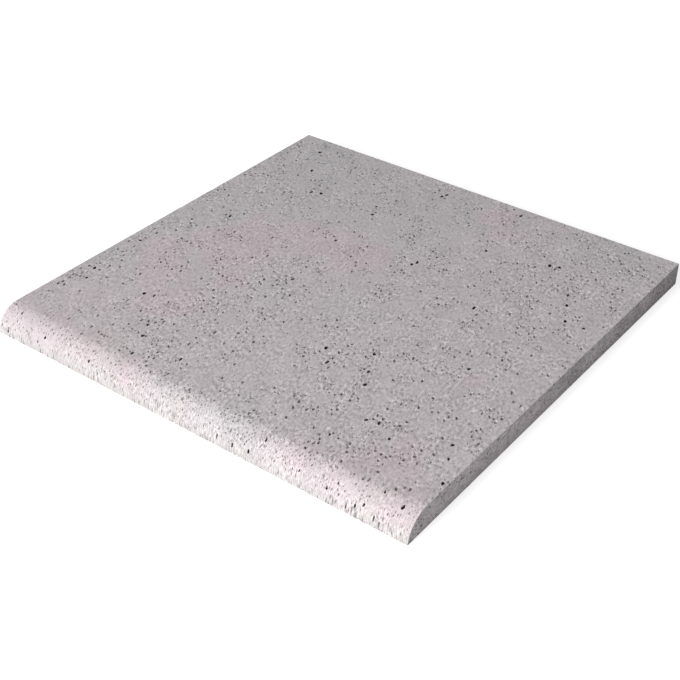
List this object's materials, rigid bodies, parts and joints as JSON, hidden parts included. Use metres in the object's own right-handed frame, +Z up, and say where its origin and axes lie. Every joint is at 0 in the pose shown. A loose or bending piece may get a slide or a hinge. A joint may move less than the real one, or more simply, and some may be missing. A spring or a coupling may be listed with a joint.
{
  "type": "pool coping tile",
  "caption": "Square pool coping tile: a flat stone slab with pitted walking face and a full rounded nose along the edge that overhangs the water.",
  "frame": {"origin": "centre of the underside, halfway along the pool's edge and halfway from the nose's foot to the back face", "axes": "+Z up through the walking face, -Y over the water past the rounded nose, X along the pool's edge"},
  "size_m": [0.6, 0.6, 0.03],
  "materials": {
    "pitted_stone": "light grey, brushed, full of small dark natural pits"
  },
  "bodies": {
    "root": {"coping_tile": "pitted_stone"}
  },
  "joints": []
}
